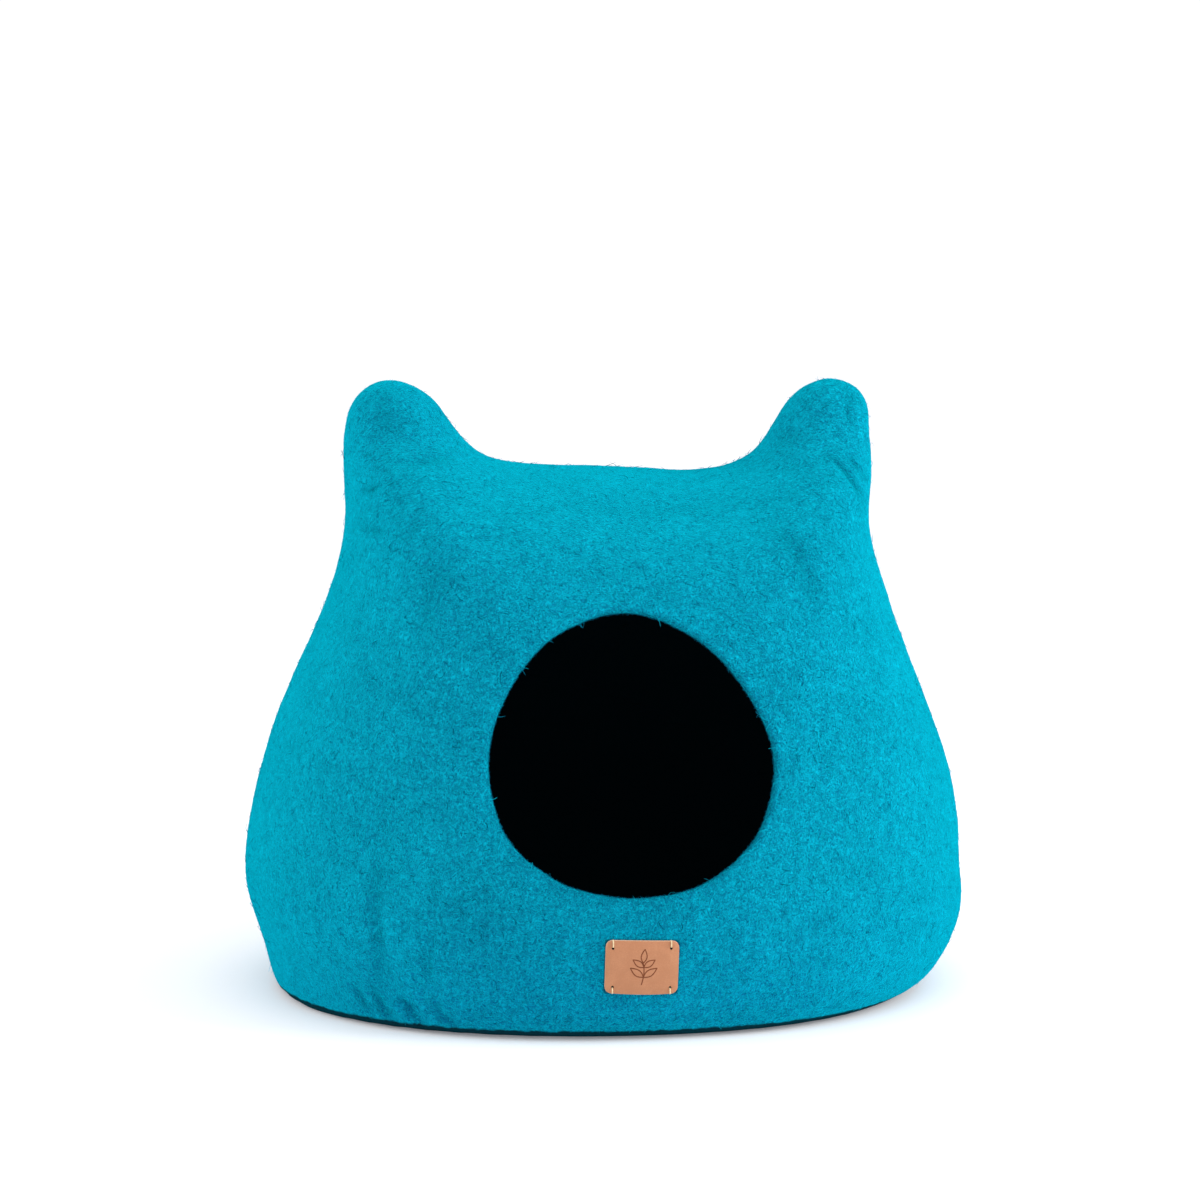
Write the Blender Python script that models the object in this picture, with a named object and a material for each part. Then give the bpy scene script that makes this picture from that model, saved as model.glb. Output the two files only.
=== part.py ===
"""Felt cat cave: one seamless felted wool shell with two ears and a round entry, and a small leather
patch held under the entry by four thread stitches.

+Z is up, the entry faces -Y, and the origin is the middle of the base on the floor. The tables give
millimetres, as a maker would note them, and the objects are in metres.
"""

import math
from collections import namedtuple

import bmesh
import bpy
import numpy as np
from mathutils import Vector, noise

MM = 0.001

# ---------------------------------------------------------------- felt shell
WALL = 7.0  # thickness of the felted wool
ENTRY_X, ENTRY_Z = -1.0, 182.0  # centre of the cut entry, seen from the front
LIP = 2.6  # how far the soft cut edge bulges into the entry
BACK_POLE_Z = 190.0  # height at which the felted rings close at the back
SECTION_POWER = 2.25  # squareness of the level sections, 2 being an ellipse
CROWN_POWER = 2.1  # squareness of the rounding over crown, ears and shoulders
BLEND_FROM, BLEND_TO = 110.0, 300.0  # heights between which the one rounding turns into the other
SOFTNESS = 2.2  # how sharply the distance to the outline follows its nearest point
NEAR, FAR = 5.0, 34.0  # the distance is exact up to the one, and averaged from the other on
LUMPS = ((85.0, 1.5), (34.0, 0.7))  # size and height of the felt's slow unevenness
LUMP_FADE = 16.0  # height above the floor over which the unevenness sets in

# The felted outline seen from the front, anticlockwise from floor to floor.
OutlinePoint = namedtuple("OutlinePoint", "name x z")
OUTLINE = (
    OutlinePoint("right toe", 210, 0),
    OutlinePoint("right heel", 228, 9),
    OutlinePoint("right undercut", 241.5, 28),
    OutlinePoint("right belly", 252, 57),
    OutlinePoint("right belly dent", 249.5, 90),
    OutlinePoint("right flank", 248, 120),
    OutlinePoint("right hip", 237.5, 168),
    OutlinePoint("right shoulder", 215, 224),
    OutlinePoint("right neck", 196, 277),
    OutlinePoint("right waist", 184, 320),
    OutlinePoint("right ear root", 189, 348),
    OutlinePoint("right ear outside", 193.5, 378),
    OutlinePoint("right ear turn", 188.5, 408.5),
    OutlinePoint("right ear tip", 161, 423),
    OutlinePoint("right ear inner turn", 133, 410),
    OutlinePoint("right ear inside", 120, 387),
    OutlinePoint("right ear hollow", 104.5, 366),
    OutlinePoint("crown right", 76, 358),
    OutlinePoint("crown middle", 5, 360),
    OutlinePoint("crown left", -50, 362.5),
    OutlinePoint("left ear hollow", -83, 368),
    OutlinePoint("left ear inside", -103, 387),
    OutlinePoint("left ear inner turn", -119, 411),
    OutlinePoint("left ear tip", -152, 423),
    OutlinePoint("left ear turn", -176, 407),
    OutlinePoint("left ear outside", -181, 380),
    OutlinePoint("left ear root", -181, 350),
    OutlinePoint("left waist", -180.5, 324),
    OutlinePoint("left neck", -190, 280),
    OutlinePoint("left shoulder", -213, 224),
    OutlinePoint("left hip", -235, 170),
    OutlinePoint("left flank", -248, 120),
    OutlinePoint("left belly", -252, 73),
    OutlinePoint("left undercut", -239.5, 30),
    OutlinePoint("left heel", -235, 9),
    OutlinePoint("left toe", -230, 0),
)

# How far front and back stand off the outline's plane at each height, and how far in from the
# outline the rounding of crown and ears reaches there.
DepthRow = namedtuple("DepthRow", "z half_depth rounding")
DEPTH = (
    DepthRow(0, 199, 200),
    DepthRow(1.5, 204, 200),
    DepthRow(5, 208.5, 200),
    DepthRow(14, 214, 200),
    DepthRow(35, 218, 200),
    DepthRow(70, 220, 200),
    DepthRow(110, 217, 195),
    DepthRow(180, 206, 170),
    DepthRow(250, 184, 124),
    DepthRow(310, 150, 84),
    DepthRow(350, 102, 58),
    DepthRow(385, 49, 40),
    DepthRow(430, 24, 28),
)

# Radius of the hand-cut entry at each bearing, anticlockwise from the right.
RimRow = namedtuple("RimRow", "degrees radius")
RIM = (
    RimRow(0, 96.7),
    RimRow(30, 90),
    RimRow(60, 91.5),
    RimRow(90, 97),
    RimRow(120, 96),
    RimRow(150, 94.5),
    RimRow(180, 97.2),
    RimRow(210, 99.2),
    RimRow(240, 93.5),
    RimRow(270, 90),
    RimRow(300, 93.5),
    RimRow(330, 98),
)

# Soft troughs (depth below zero) and ridges pressed into the felt. side is -1 in front, 1 at the back.
DentRow = namedtuple("DentRow", "name x z side length width degrees depth")
DENTS = (
    DentRow("left flank trough", -158, 92, -1, 60, 16, 90, -2.4),
    DentRow("left flank fold", -130, 92, -1, 55, 16, 88, 1.4),
    DentRow("lower left gather", -135, 30, -1, 40, 15, 150, -2.5),
    DentRow("right ear crease", 172, 352, -1, 26, 11, -42, -3.4),
    DentRow("left ear crease", -168, 347, -1, 22, 11, 8, -2.4),
    DentRow("back slump", 30, 250, 1, 90, 60, 10, -5),
    DentRow("back bulge", -60, 110, 1, 90, 60, -20, 3),
)

# ---------------------------------------------------------------- leather patch and its stitches
PATCH_X, PATCH_Z = 2.0, 50.6
PATCH_WIDTH, PATCH_HEIGHT = 47.4, 34.5
PATCH_CORNER = 4.2
PATCH_THICKNESS = 1.6
PATCH_BULGE = 0.9  # how far the lower edge bows down in its middle
PATCH_LEAN = -1.6  # degrees that the patch leans, anticlockwise as seen
PATCH_COLUMNS = 8  # strips that let the leather follow the round front
GAP = 0.3  # clearance that neighbouring pieces keep
HOLE_RADIUS = 0.85
HOLE_SIDES = 16
THREAD_RADIUS = 0.5
# Each stitch comes out of a hole near a corner and goes over the nearest long edge into the felt.
StitchRow = namedtuple("StitchRow", "name x z upward")
STITCHES = (
    StitchRow("stitch_top_left", -19.0, 12.0, 1),
    StitchRow("stitch_top_right", 18.6, 12.4, 1),
    StitchRow("stitch_bottom_left", -18.6, -13.4, -1),
    StitchRow("stitch_bottom_right", 18.8, -13.4, -1),
)

# ---------------------------------------------------------------- mesh density
SPOKES = 96  # lines that run from the entry over the outline to the back
BASE_SPOKES = 25  # how many of them meet the floor between the toes
FRONT_RINGS, BACK_RINGS = 18, 18  # rings from the entry to the outline, and on to the back pole
LIP_STEPS = 4
OUTLINE_BEND, RING_BEND = 12.0, 45.0  # millimetres of length that one radian of bend counts for
BEARING_SMOOTHING = 40  # passes that spread the spokes evenly round the entry
LOOPS, LOOP_STEP = 8, 4.0  # loops that lead the spokes inwards from the outline, and their spacing
LOOP_SMOOTHING, PATH_SMOOTHING = 3, 6  # passes that average along each loop, and along each spoke
UNFOLD_TOP = 220.0  # height up to which the net is laid out with the round sides unfolded
HALVINGS = 40
POLE_RING = 12.0  # radius of the last ring at the back
RING_SMOOTHING = 12  # passes that even out how the rings run from spoke to spoke
CURVE_STEPS = 14  # steps of a smooth curve between two rows of a table
PATH_STEPS = 150


def smooth_curve(points, closed):
    """A centripetal Catmull-Rom curve through the points, as an array of rows."""
    points = np.array(points, float)
    if closed:
        spans = [np.roll(points, -shift, axis=0) for shift in (-1, 0, 1, 2)]
    else:
        padded = np.vstack([2 * points[0] - points[1], points, 2 * points[-1] - points[-2]])
        spans = [padded[shift : shift + len(points) - 1] for shift in range(4)]
    before, start, end, after = (span[:, None, :] for span in spans)
    first, middle, last = (
        np.sqrt(np.linalg.norm(b - a, axis=-1, keepdims=True))
        for a, b in ((before, start), (start, end), (end, after))
    )
    pace = (end - start) / middle
    leave = middle * ((start - before) / first - (end - before) / (first + middle) + pace)
    arrive = middle * (pace - (after - start) / (middle + last) + (after - end) / last)
    t = (np.arange(CURVE_STEPS) / CURVE_STEPS)[None, :, None]
    curve = (
        start * (1 + 2 * t) * (1 - t) ** 2
        + leave * t * (1 - t) ** 2
        + end * t**2 * (3 - 2 * t)
        + arrive * t**2 * (t - 1)
    )
    curve = curve.reshape(-1, points.shape[1])
    return curve if closed else np.vstack([curve, points[-1]])


def unit(vectors):
    return vectors / np.maximum(np.linalg.norm(vectors, axis=-1, keepdims=True), 1e-9)


def lengths_along(line):
    step = np.linalg.norm(np.diff(line, axis=0), axis=1)
    return np.concatenate([[0.0], np.cumsum(step)])


def shares(line, count, bend_length):
    """Where count points go along a line, as shares of its length: evenly by length, to which each
    radian of bend adds bend_length, so that tight turns get more of them."""
    heading = unit(np.diff(line, axis=0))
    cosine = np.clip((heading[:-1] * heading[1:]).sum(1), -1, 1)
    bend = np.concatenate([[0.0, 0.0], np.cumsum(np.arccos(cosine))])
    length = lengths_along(line)
    along = length + bend_length * bend
    return np.interp(np.linspace(0, along[-1], count), along, length / length[-1])


def picked(line, portions):
    """The points of a line at these shares of its length."""
    length = lengths_along(line)
    return np.stack([np.interp(portions * length[-1], length, column) for column in line.T], axis=1)


def evened(values, passes):
    """Values along a closed loop, averaged with their neighbours so many times."""
    for _ in range(passes):
        values = (np.roll(values, 1, axis=0) + 2 * values + np.roll(values, -1, axis=0)) / 4
    return values


def eased(t):
    """0 to 1 with a level start and end."""
    t = np.clip(t, 0, 1)
    return t * t * (3 - 2 * t)


def mixed(a, b, share):
    return a * (1 - share) + b * share


def rounded(share, power):
    """The height of a superellipse at a share of the way out."""
    return (1 - np.clip(share, 0, 1) ** power) ** (1 / power)


class Outline:
    """The front view of the shell and what is worked out from it."""

    def __init__(self):
        self.curve = smooth_curve([(p.x, p.z) for p in OUTLINE], closed=False)
        self.depths = smooth_curve(DEPTH, closed=False)
        self.sides = {}
        for sign in (1, -1):
            side = self.curve[(self.curve[:, 0] * sign > 150) & (self.curve[:, 1] < 300)]
            self.sides[sign] = np.abs(side[np.argsort(side[:, 1]), ::-1])

    def half_width(self, x, z):
        left, right = (np.interp(z, *self.sides[sign].T) for sign in (-1, 1))
        return np.where(x > 0, right, left)

    def unfolding(self, z):
        """How much of the round sides is laid flat at this height: all of it at the floor."""
        return 1 - eased(z / UNFOLD_TOP)

    def unfolded(self, x, z):
        """The place of (x, z) in a front view whose round sides are laid flat towards the floor."""
        width, part = self.half_width(x, z), self.unfolding(z)
        across = np.clip(x / width, -1, 1)
        return width * mixed(across, np.arcsin(across), part)

    def folded(self, u, z):
        """The x of a place in the unfolded front view, found by halving the range it is in."""
        width, part = self.half_width(u, z), self.unfolding(z)
        middle, reach = np.zeros_like(u), math.pi / 4
        for _ in range(HALVINGS):
            beyond = u > width * mixed(np.sin(middle), middle, part)
            middle = middle + np.where(beyond, reach, -reach)
            reach /= 2
        return width * np.sin(middle)

    def edge_distance(self, x, z):
        """The distance to the outline above the floor. Away from the outline it is averaged over all
        of it, so that it has no crease where two stretches are equally near."""
        start, end = self.curve[:-1], self.curve[1:]
        run = end - start
        length = np.linalg.norm(run, axis=1)
        offset = np.stack([x, z], axis=-1)[..., None, :] - start
        share = np.clip((offset * run).sum(-1) / length**2, 0, 1)
        apart = np.linalg.norm(offset - share[..., None] * run, axis=-1)
        nearest = apart.min(-1)
        total = (np.maximum(apart, NEAR) ** -(SOFTNESS + 1) * length).sum(-1)
        spread = math.sqrt(math.pi) * math.gamma(SOFTNESS / 2) / math.gamma((SOFTNESS + 1) / 2)
        average = (total / spread) ** (-1 / SOFTNESS)
        return mixed(nearest, average, eased((nearest - NEAR) / (FAR - NEAR)))

    def half_depth(self, x, z):
        """How far the felt stands off the outline's plane at a place in the front view."""
        depth = np.interp(z, self.depths[:, 0], self.depths[:, 1])
        rounding = np.interp(z, self.depths[:, 0], self.depths[:, 2])
        level = rounded(np.abs(x) / self.half_width(x, z), SECTION_POWER)
        crown = rounded(1 - self.edge_distance(x, z) / rounding, CROWN_POWER)
        return depth * mixed(level, crown, eased((z - BLEND_FROM) / (BLEND_TO - BLEND_FROM)))


def spoke_ends(outline):
    """Where the spokes meet the outline in the unfolded front view, anticlockwise from the left toe:
    evenly along the floor, then over the outline by its length and bend."""
    x, z = picked(outline.curve, shares(outline.curve, SPOKES - BASE_SPOKES, OUTLINE_BEND)).T
    above = np.column_stack([outline.unfolded(x, z), z])
    on_floor = np.linspace(above[-1], above[0], BASE_SPOKES + 2)[1:-1]
    return np.concatenate([on_floor, above])


def shrunk_loops(outline):
    """Nested loops of points in the front view, from the outline inwards. Each is the one before
    moved inwards and averaged along itself, so that the points of the ears come in side by side."""
    loops = [spoke_ends(outline)]
    for _ in range(LOOPS):
        ahead = np.roll(loops[-1], -1, axis=0) - np.roll(loops[-1], 1, axis=0)
        inward = unit(ahead)[:, ::-1] * (-1, 1)
        loops.append(evened(loops[-1] + inward * LOOP_STEP, LOOP_SMOOTHING))
    return loops


def spoke_paths(outline, middle, ring):
    """Each spoke's path in the unfolded front view, from a ring round the middle to the outline."""
    loops = shrunk_loops(outline)
    away = loops[-1] - middle
    turn = 2 * math.pi * np.arange(SPOKES) / SPOKES
    bearings = turn + evened(np.unwrap(np.arctan2(away[:, 1], away[:, 0])) - turn, BEARING_SMOOTHING)
    radius = ring(bearings)
    x, z = middle[0] + radius * np.cos(bearings), middle[1] + radius * np.sin(bearings)
    starts = np.column_stack([outline.unfolded(x, z), z])
    inner = [mixed(starts, loops[-1], share) for share in np.linspace(0, 1, LOOPS)]
    paths = np.stack(inner + loops[-2::-1], axis=1)
    for _ in range(PATH_SMOOTHING):
        paths[:, 1:-1] = (paths[:, :-2] + 2 * paths[:, 1:-1] + paths[:, 2:]) / 4
    return paths


def rim_radius(bearings):
    """The radius of the cut entry at these bearings."""
    angles = [math.radians(row.degrees) for row in RIM]
    corners = [(row.radius * math.cos(a), row.radius * math.sin(a)) for row, a in zip(RIM, angles)]
    rim = smooth_curve(corners, closed=True)
    return np.interp(bearings, np.arctan2(rim[:, 1], rim[:, 0]), np.hypot(*rim.T), period=2 * math.pi)


def pole_radius(bearings):
    return np.full(len(bearings), POLE_RING)


def lumps(point):
    """The slow unevenness of hand felting at a place, above or below the smooth form."""
    return sum(height * noise.noise(Vector(point) / size) for size, height in LUMPS)


def pressed(points, normals):
    """The points moved along their normals by the dents and the felt's unevenness."""
    x, y, z = points.T
    lift = np.array([lumps(point) for point in points])
    for dent in DENTS:
        angle = math.radians(dent.degrees)
        along = (x - dent.x) * math.cos(angle) + (z - dent.z) * math.sin(angle)
        across = (z - dent.z) * math.cos(angle) - (x - dent.x) * math.sin(angle)
        facing = eased(0.5 + dent.side * y / 40)
        lift += dent.depth * facing * np.exp(-((along / dent.length) ** 2) - (across / dent.width) ** 2)
    lift *= eased(z / LUMP_FADE)
    return points + normals * lift[:, None]


def net_quads(grid):
    """The four-cornered faces between neighbouring spokes of a grid of point numbers."""
    there = np.roll(grid, -1, axis=0)
    corners = (grid[:, :-1], there[:, :-1], there[:, 1:], grid[:, 1:])
    return np.stack(corners, axis=-1).reshape(-1, 4)


def point_normals(points, quads):
    """The outward unit normal at each point, from the faces round it."""
    first, second, third, fourth = (points[column] for column in quads.T)
    facing = np.cross(fourth - second, third - first)
    normals = np.zeros_like(points)
    for column in quads.T:
        np.add.at(normals, column, facing)
    return unit(normals)


def skin_half(outline, paths, side, rings):
    """The outside before or behind the outline's plane, as a net [spoke, ring, xyz] from its middle."""
    # The steps crowd towards the outline, where the surface turns quickest.
    crowded = np.sin(np.linspace(0, math.pi / 2, PATH_STEPS))
    lines = []
    for path in paths:
        u, z = picked(path, crowded).T
        x = outline.folded(u, z)
        lines.append(np.column_stack([x, side * outline.half_depth(x, z), z]))
    portions = evened(np.array([shares(line, rings + 1, RING_BEND) for line in lines]), RING_SMOOTHING)
    net = np.array([picked(line, row) for line, row in zip(lines, portions)])
    net[BASE_SPOKES:, -1, 1] = 0
    return net


def outer_skin(outline):
    """The shell's outside: its points, and the grids of point numbers of the front, from the entry
    outwards, and of the back, from the outline to the pole. Above the floor both share the outline."""
    front = skin_half(outline, spoke_paths(outline, (ENTRY_X, ENTRY_Z), rim_radius), -1, FRONT_RINGS)
    back = skin_half(outline, spoke_paths(outline, (0, BACK_POLE_Z), pole_radius), 1, BACK_RINGS)
    points = np.concatenate([front, back[:, ::-1]], axis=1).reshape(-1, 3)
    front, back = np.split(np.arange(len(points)).reshape(SPOKES, -1), [FRONT_RINGS + 1], axis=1)
    back[BASE_SPOKES:, 0] = front[BASE_SPOKES:, -1]
    quads = np.concatenate([net_quads(front), net_quads(back)])
    points = pressed(points, point_normals(points, quads))
    points[:, 2] = np.maximum(points[:, 2], 0)
    return points, point_normals(points, quads), front, back


def back_pole(outline):
    """The points at which the rings close at the back, outside and inside."""
    half_depth = outline.half_depth(np.zeros(1), np.full(1, BACK_POLE_Z))[0]
    pole = pressed(np.array([[0, half_depth, BACK_POLE_Z]]), np.array([[0, 1, 0]]))[0]
    return pole, pole - (0, WALL, 0)


def lip_rows(edge, inner_edge, normals):
    """The rows of points that round the cut edge, from the outside in."""
    to_middle = (ENTRY_X, 0, ENTRY_Z) - edge * (1, 0, 1)
    to_middle = unit(to_middle - normals * (to_middle * normals).sum(1)[:, None])
    rows = []
    for step in range(1, LIP_STEPS):
        turn = math.pi * step / LIP_STEPS
        across = mixed(edge, inner_edge, (1 - math.cos(turn)) / 2)
        rows.append(across + to_middle * LIP * math.sin(turn))
    return rows


def new_object(name, mesh, material):
    """An object of this mesh or curve, with its material if it has one."""
    obj = bpy.data.objects.new(name, mesh)
    bpy.context.scene.collection.objects.link(obj)
    if material:
        mesh.materials.append(material)
    return obj


def mesh_of(bm, name):
    mesh = bpy.data.meshes.new(name)
    bmesh.ops.recalc_face_normals(bm, faces=bm.faces)
    bm.to_mesh(mesh)
    bm.free()
    mesh.shade_smooth()
    return mesh


def add_skin(bm, points, front, back, pole):
    """Adds one side of the felt, closed at the pole and by the flat base, and returns its vertices."""
    verts = {number: bm.verts.new(points[number] * MM) for number in np.unique([*front.T, *back.T])}
    for quad in np.concatenate([net_quads(front), net_quads(back)]):
        bm.faces.new([verts[number] for number in quad])
    last = bm.verts.new(pole * MM)
    for here, there in zip(back[:, -1], np.roll(back[:, -1], -1)):
        bm.faces.new((verts[here], verts[there], last))
    toe_to_toe = [front[-1, -1], *front[: BASE_SPOKES + 1, -1]]
    bm.faces.new([verts[number] for number in [*toe_to_toe, *back[BASE_SPOKES - 1 :: -1, 0]]])
    return verts


def felt_shell(outline, material):
    """The hollow shell: outside and inside skins, joined round the entry by the rounded cut edge."""
    points, normals, front, back = outer_skin(outline)
    inner_points = points - normals * WALL
    inner_points[:, 2] = np.maximum(inner_points[:, 2], WALL)
    pole, inner_pole = back_pole(outline)
    bm = bmesh.new()
    outside = add_skin(bm, points, front, back, pole)
    inside = add_skin(bm, inner_points, front[:, ::2], back[:, ::2], inner_pole)
    edge = front[:, 0]
    rows = [[outside[number] for number in edge]]
    for row in lip_rows(points[edge], inner_points[edge], normals[edge]):
        rows.append([bm.verts.new(point * MM) for point in row])
    rows.append([inside[number] for number in edge])
    for outer, inner in zip(rows, rows[1:]):
        for here in range(-1, SPOKES - 1):
            bm.faces.new((outer[here], outer[here + 1], inner[here + 1], inner[here]))
    bmesh.ops.triangulate(bm, faces=bm.faces, quad_method="SHORT_EDGE")
    return new_object("felt_shell", mesh_of(bm, "felt_shell"), material)


class PatchPlace:
    """Turns a place on the flat patch into a place on the felt's round front."""

    def __init__(self, outline):
        self.outline = outline

    def felt(self, x, z):
        point = np.array([[x, -self.outline.half_depth(np.array([x]), np.array([z]))[0], z]])
        return point[0]

    def at(self, u, v, stand_off):
        """The world point at (u, v) from the patch's middle and stand_off above the felt."""
        lean = math.radians(PATCH_LEAN)
        x = PATCH_X + u * math.cos(lean) - v * math.sin(lean)
        z = PATCH_Z + u * math.sin(lean) + v * math.cos(lean)
        middle = self.felt(x, z)
        across = self.felt(x + 1, z) - self.felt(x - 1, z)
        up = self.felt(x, z + 1) - self.felt(x, z - 1)
        normal = unit(np.cross(across, up))
        lifted = pressed(middle[None], normal[None])[0]
        return Vector((lifted + normal * stand_off) * MM)


def rounded_rectangle():
    """The patch's cut outline, with the slight bow of its lower edge."""
    points = []
    for corner, (side, top) in enumerate(((1, 1), (-1, 1), (-1, -1), (1, -1))):
        middle_u = side * (PATCH_WIDTH / 2 - PATCH_CORNER)
        middle_v = top * (PATCH_HEIGHT / 2 - PATCH_CORNER)
        for step in range(5):
            angle = math.radians(90 * corner + 22.5 * step)
            points.append((middle_u + PATCH_CORNER * math.cos(angle), middle_v + PATCH_CORNER * math.sin(angle)))
    return points


def leather_patch(place, material):
    """A plate bent to the felt's front, with four punched holes."""
    bm = bmesh.new()
    bm.faces.new([bm.verts.new((u, v, 0)) for u, v in rounded_rectangle()])
    for column in range(1, PATCH_COLUMNS):
        cut = PATCH_WIDTH * (column / PATCH_COLUMNS - 0.5)
        geometry = bm.verts[:] + bm.edges[:] + bm.faces[:]
        bmesh.ops.bisect_plane(bm, geom=geometry, plane_co=(cut, 0, 0), plane_no=(1, 0, 0))
    for row in (-1, 0, 1):
        geometry = bm.verts[:] + bm.edges[:] + bm.faces[:]
        bmesh.ops.bisect_plane(bm, geom=geometry, plane_co=(0, row * PATCH_HEIGHT / 4, 0), plane_no=(0, 1, 0))
    back = bmesh.ops.extrude_face_region(bm, geom=bm.faces[:])["geom"]
    back = {item for item in back if isinstance(item, bmesh.types.BMVert)}
    for vert in bm.verts:
        u, v, _ = vert.co
        if v < 0:
            v -= PATCH_BULGE * (1 - (2 * u / PATCH_WIDTH) ** 2) * -2 * v / PATCH_HEIGHT
        vert.co = place.at(u, v, GAP if vert in back else GAP + PATCH_THICKNESS)
    patch = new_object("leather_patch", mesh_of(bm, "leather_patch"), material)
    patch.data.set_sharp_from_angle(angle=math.radians(40))
    for stitch in STITCHES:
        punch(patch, place, stitch)
    return patch


def punch(patch, place, stitch):
    """Cuts one stitch hole square through the leather."""
    inner = place.at(stitch.x, stitch.z, -2)
    outer = place.at(stitch.x, stitch.z, PATCH_THICKNESS + 3)
    bm = bmesh.new()
    bmesh.ops.create_cone(
        bm,
        cap_ends=True,
        segments=HOLE_SIDES,
        radius1=HOLE_RADIUS * MM,
        radius2=HOLE_RADIUS * MM,
        depth=(outer - inner).length,
    )
    cutter = new_object(f"punch_{stitch.name}", mesh_of(bm, "punch"), None)
    cutter.rotation_mode = "QUATERNION"
    cutter.rotation_quaternion = (outer - inner).to_track_quat("Z", "Y")
    cutter.location = (inner + outer) / 2
    cutter.hide_render = True
    cutter.display_type = "WIRE"
    cut = patch.modifiers.new(f"hole_{stitch.name}", "BOOLEAN")
    cut.object = cutter


def stitch_thread(place, stitch, material):
    """One visible stitch: out of its hole, along the leather, over the edge and down to the felt."""
    radius = THREAD_RADIUS
    inside = GAP + radius
    above = GAP + PATCH_THICKNESS + GAP + radius
    edge = PATCH_HEIGHT / 2
    if stitch.upward < 0:
        edge += PATCH_BULGE * (1 - (2 * stitch.x / PATCH_WIDTH) ** 2)
    past = stitch.upward * (edge + GAP + radius)
    shift = stitch.upward * radius
    corners = (
        (stitch.z, inside),
        (stitch.z, above - radius),
        (stitch.z + shift, above),
        (past - shift, above),
        (past, above - radius),
        (past, inside),
    )
    curve = bpy.data.curves.new(stitch.name, "CURVE")
    curve.dimensions = "3D"
    curve.bevel_depth = radius * MM
    curve.bevel_resolution = 2
    curve.use_fill_caps = True
    spline = curve.splines.new("POLY")
    spline.points.add(len(corners) - 1)
    for point, (v, stand_off) in zip(spline.points, corners):
        point.co = (*place.at(stitch.x, v, stand_off), 1)
    return new_object(stitch.name, curve, material)


def plain_material(name, colour, roughness):
    material = bpy.data.materials.new(name)
    material.use_nodes = True
    surface = material.node_tree.nodes["Principled BSDF"]
    surface.inputs["Base Color"].default_value = (*colour, 1)
    surface.inputs["Roughness"].default_value = roughness
    surface.inputs["Metallic"].default_value = 0
    return material


def main():
    for obj in list(bpy.data.objects):
        bpy.data.objects.remove(obj, do_unlink=True)
    felt = plain_material("teal_wool_felt", (0.0, 0.29, 0.42), 0.95)
    leather = plain_material("tan_leather", (0.62, 0.29, 0.15), 0.6)
    thread = plain_material("cream_thread", (0.87, 0.69, 0.42), 0.8)
    outline = Outline()
    felt_shell(outline, felt)
    place = PatchPlace(outline)
    leather_patch(place, leather)
    for stitch in STITCHES:
        stitch_thread(place, stitch, thread)


main()
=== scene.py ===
"""Felt cat cave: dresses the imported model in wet-felted wool, tanned leather and waxed thread.

Lengths are in metres in the code and in the settings, or in millimetres where a comment says so.
"""

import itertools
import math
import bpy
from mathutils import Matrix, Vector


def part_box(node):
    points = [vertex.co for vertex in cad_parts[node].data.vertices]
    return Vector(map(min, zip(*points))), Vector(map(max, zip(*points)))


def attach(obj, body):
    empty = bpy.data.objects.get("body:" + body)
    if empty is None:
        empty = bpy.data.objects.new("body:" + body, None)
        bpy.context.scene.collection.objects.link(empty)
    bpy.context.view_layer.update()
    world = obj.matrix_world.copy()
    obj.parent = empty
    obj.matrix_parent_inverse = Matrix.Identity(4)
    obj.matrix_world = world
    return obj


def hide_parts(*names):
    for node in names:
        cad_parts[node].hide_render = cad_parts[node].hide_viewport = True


bl_info = {
    "name": "Felt Cat Cave",
    "version": (1, 0, 0),
    "blender": (4, 5, 0),
    "location": "3D Viewport > Sidebar > Cat Cave",
    "description": "Builds the felt, leather and thread of a wet-felted cat cave",
    "category": "Object",
}

from collections import namedtuple

import bmesh
import bpy
import numpy as np
from bpy.props import FloatProperty, FloatVectorProperty, IntProperty, PointerProperty
from mathutils import Matrix, Vector, noise
from mathutils.bvhtree import BVHTree

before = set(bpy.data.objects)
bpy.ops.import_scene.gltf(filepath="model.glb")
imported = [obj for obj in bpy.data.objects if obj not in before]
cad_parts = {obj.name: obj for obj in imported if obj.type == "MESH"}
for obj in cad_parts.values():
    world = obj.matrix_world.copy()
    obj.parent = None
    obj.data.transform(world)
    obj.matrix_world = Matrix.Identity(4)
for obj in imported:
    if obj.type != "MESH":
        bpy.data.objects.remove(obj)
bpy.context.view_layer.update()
MM = 0.001
BODY = "root"
STITCH_NODES = sorted(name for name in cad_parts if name.startswith("stitch_"))

ENTRY_MIDDLE = np.array([-0.001, 0, 0.182])
RIM_REACH = 0.108  # how far from the entry's middle its cut rim ends
RIM_BACK = -0.1  # all of the cut rim lies in front of this y

MOST_FIBRES = 24000  # in one piece, so that it stays under 200,000 triangles
FIBRE_FOOT = 0.0085  # height above the floor from which the felt carries loose fibres
FIRST_SEED = 20  # of the random draws, one seed for each set of fibres

PATCH_SIZE = (0.0474, 0.0345)  # the leather laid flat
PATCH_LEAN = -1.6  # degrees it leans out of level
PATCH_MARGIN = 0.002  # felt round the patch that carries no loose fibres
BURNT_REACH = 1.3 * MM  # how far from the middle of a punched hole its dark wall ends

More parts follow.
